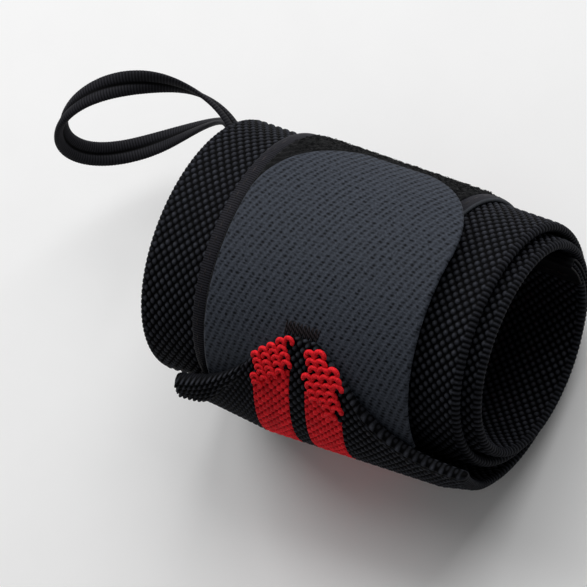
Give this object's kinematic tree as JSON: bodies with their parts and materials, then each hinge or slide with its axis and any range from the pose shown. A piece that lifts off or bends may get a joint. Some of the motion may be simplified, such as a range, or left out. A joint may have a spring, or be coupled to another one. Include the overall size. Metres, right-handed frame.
{
  "type": "wrist support brace",
  "caption": "Elastic wrist wrap wound round an open wrist passage, closed by a hook tab on a loop tape, with a striped tail end and an elastic thumb loop.",
  "frame": {"origin": "middle of the wrist passage, at half the width of the strap's second turn", "axes": "+X along the forearm from hand to elbow, +Y to the thumb side, +Z from the back of the wrist to the palm side; the wrap lies on the back of the wrist"},
  "size_m": [0.1292, 0.0647, 0.0512],
  "materials": {
    "black_weave": "coarse elastic weave of polyester over rubber",
    "red_yarn": "coarse elastic weave, red warp yarn",
    "binding_tape": "folded woven tape",
    "loop_ground": "smooth ribbed nylon tape",
    "loop_pile": "brushed nylon loop pile",
    "hook_backing": "woven nylon backing of hook tape",
    "hooks": "cut nylon hooks",
    "thumb_band": "braided elastic band",
    "thread": "polyester sewing thread"
  },
  "bodies": {
    "wrap": {"elastic_strap": "black_weave", "strap_stripe_left": "red_yarn", "strap_stripe_right": "red_yarn", "inner_end_binding": "binding_tape", "binding_stitching": "thread", "loop_tape": "loop_ground", "loop_pile": "loop_pile", "loop_tape_stitching": "thread", "thumb_loop_root": "thumb_band", "thumb_loop_bartack": "thread"},
    "tail": {"strap_tail": "black_weave", "tail_stripe_left": "red_yarn", "tail_stripe_right": "red_yarn", "tab_root": "hook_backing", "tab_bartack": "thread"},
    "tab": {"hook_tab": "hook_backing", "hook_field": "hooks"},
    "loop": {"thumb_loop": "thumb_band"}
  },
  "joints": [
    {"name": "tail_unwrap", "type": "hinge", "parent": "wrap", "child": "tail", "pos_m": [0, -0.02431, -0.01733], "axis": [0.9996, 0.0283, 0], "range_deg": [0, 90]},
    {"name": "tab_peel", "type": "hinge", "parent": "tail", "child": "tab", "pos_m": [0.0052, -0.01163, 0.02469], "axis": [0.9999, 0.0125, 0], "range_deg": [0, 110]},
    {"name": "thumb_loop_swing", "type": "hinge", "parent": "wrap", "child": "loop", "pos_m": [-0.042, 0.0229, 0.00372], "axis": [0, -0.2756, 0.9613], "range_deg": [-45, 60], "stiffness_Nm_per_rad": 0.001}
  ]
}
